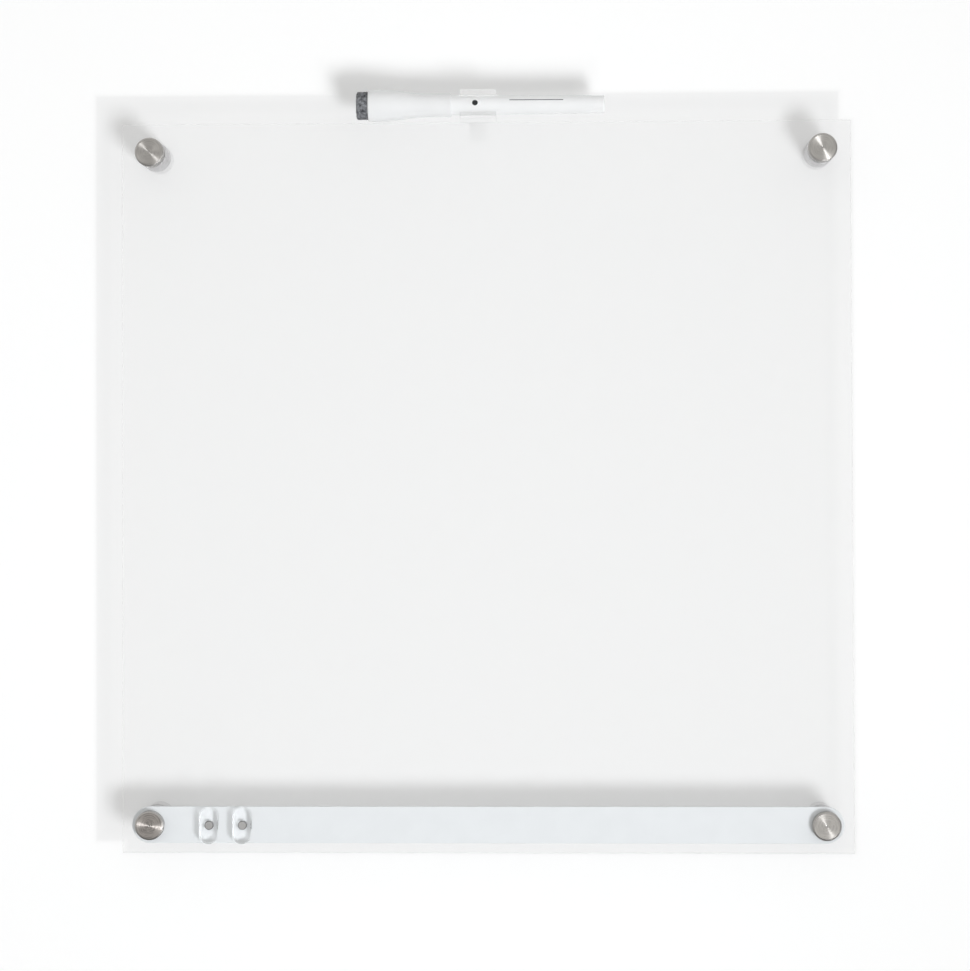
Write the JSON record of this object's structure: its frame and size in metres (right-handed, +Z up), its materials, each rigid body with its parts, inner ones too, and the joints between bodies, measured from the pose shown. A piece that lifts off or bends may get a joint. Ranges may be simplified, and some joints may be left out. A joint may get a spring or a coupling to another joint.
{
  "type": "acrylic whiteboard",
  "caption": "Square clear acrylic dry-erase wall board on round metal standoffs, with a magnetic bar, sliding bar magnets and a capped marker held in a clip.",
  "frame": {"origin": "middle of the standoff pattern on the wall plane, behind the middle of the panel", "axes": "+X to the right along the board seen from the front, +Z up, +Y into the wall; the board faces -Y"},
  "size_m": [0.381, 0.0576, 0.3984],
  "materials": {
    "clear_acrylic": "clear, polished",
    "clear_polycarbonate": "clear, moulded",
    "clear_vinyl": "clear, soft",
    "brushed_steel": "turned, with a brushed face",
    "zinc_steel": "zinc plated",
    "nickel": "nickel plated",
    "nylon": "moulded",
    "coated_steel": "white powder coat",
    "white_shell": "white, moulded, glossy",
    "ink_fibre": "fibre soaked in black ink",
    "felt": "pressed felt"
  },
  "bodies": {
    "board": {"acrylic_panel": "clear_acrylic", "magnetic_bar": "coated_steel", "standoff_barrel_top_left": "brushed_steel", "standoff_barrel_top_right": "brushed_steel", "standoff_barrel_bottom_left": "brushed_steel", "standoff_barrel_bottom_right": "brushed_steel", "rear_washer_top_left": "clear_vinyl", "rear_washer_top_right": "clear_vinyl", "rear_washer_bottom_left": "clear_vinyl", "rear_washer_bottom_right": "clear_vinyl", "front_washer_top_left": "clear_vinyl", "front_washer_top_right": "clear_vinyl", "front_washer_bottom_left": "clear_vinyl", "front_washer_bottom_right": "clear_vinyl", "wall_screw_top_left": "zinc_steel", "wall_screw_top_right": "zinc_steel", "wall_screw_bottom_left": "zinc_steel", "wall_screw_bottom_right": "zinc_steel", "wall_anchor_top_left": "nylon", "wall_anchor_top_right": "nylon", "wall_anchor_bottom_left": "nylon", "wall_anchor_bottom_right": "nylon"},
    "cap_top_left": {"standoff_cap_top_left": "brushed_steel"},
    "cap_top_right": {"standoff_cap_top_right": "brushed_steel"},
    "cap_bottom_left": {"standoff_cap_bottom_left": "brushed_steel"},
    "cap_bottom_right": {"standoff_cap_bottom_right": "brushed_steel"},
    "magnet_1": {"magnet_body_1": "clear_acrylic", "magnet_disc_1": "nickel"},
    "magnet_2": {"magnet_body_2": "clear_acrylic", "magnet_disc_2": "nickel"},
    "clip": {"marker_clip": "clear_polycarbonate"},
    "marker": {"marker_barrel": "white_shell", "marker_end_plug": "white_shell", "marker_section": "white_shell", "marker_nib": "ink_fibre", "ink_reservoir": "ink_fibre"},
    "marker_cap": {"marker_cap": "white_shell", "eraser_felt": "felt"}
  },
  "joints": [
    {"name": "cap_turn_top_left", "type": "hinge", "parent": "board", "child": "cap_top_left", "pos_m": [-0.1755, -0.0236, 0.1755], "axis": [0, -1, 0], "continuous": true},
    {"name": "cap_turn_top_right", "type": "hinge", "parent": "board", "child": "cap_top_right", "pos_m": [0.1755, -0.0236, 0.1755], "axis": [0, -1, 0], "continuous": true},
    {"name": "cap_turn_bottom_left", "type": "hinge", "parent": "board", "child": "cap_bottom_left", "pos_m": [-0.1755, -0.0251, -0.1755], "axis": [0, -1, 0], "continuous": true},
    {"name": "cap_turn_bottom_right", "type": "hinge", "parent": "board", "child": "cap_bottom_right", "pos_m": [0.1755, -0.0251, -0.1755], "axis": [0, -1, 0], "continuous": true},
    {"name": "magnet_1_slide", "type": "slide", "parent": "board", "child": "magnet_1", "axis": [1, 0, 0], "range_m": [-0.018, 0.0037]},
    {"name": "magnet_2_slide", "type": "slide", "parent": "board", "child": "magnet_2", "axis": [1, 0, 0], "range_m": [-0.0037, 0.2898]},
    {"name": "clip_slide", "type": "slide", "parent": "board", "child": "clip", "axis": [1, 0, 0], "range_m": [-0.161, 0.168]},
    {"name": "marker_slide", "type": "slide", "parent": "clip", "child": "marker", "axis": [1, 0, 0], "range_m": [-0.076, 0.0045]},
    {"name": "marker_cap_pull", "type": "slide", "parent": "marker", "child": "marker_cap", "axis": [1, 0, 0], "range_m": [-0.035, 0]}
  ]
}
